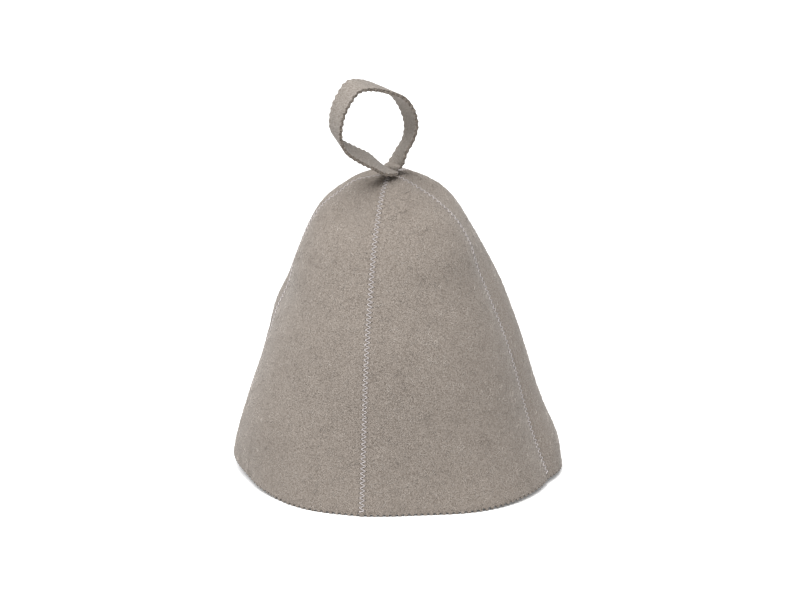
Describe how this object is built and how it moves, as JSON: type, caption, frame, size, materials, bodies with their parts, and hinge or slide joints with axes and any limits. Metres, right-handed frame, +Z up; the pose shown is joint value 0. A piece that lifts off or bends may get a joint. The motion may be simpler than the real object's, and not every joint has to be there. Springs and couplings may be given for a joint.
{
  "type": "felt sauna hat",
  "caption": "Bell-shaped felt sauna hat of butted, zigzag-sewn gores with an open head hollow, a pinked rim and a felt hanging loop at the crown.",
  "frame": {"origin": "centre of the bounding box on the plane of the rim, where the hat stands", "axes": "+Z up through the crown, -Y towards the front seam, +X towards the right side seam"},
  "size_m": [0.2474, 0.1838, 0.3058],
  "materials": {
    "felt": "thick matt wool felt, grey-beige melange",
    "strap_felt": "matt wool felt strip with pinked edges"
  },
  "bodies": {
    "root": {"panel_front_right": "felt", "panel_back_right": "felt", "panel_back_left": "felt", "panel_front_left": "felt", "hanging_loop": "strap_felt"}
  },
  "joints": []
}
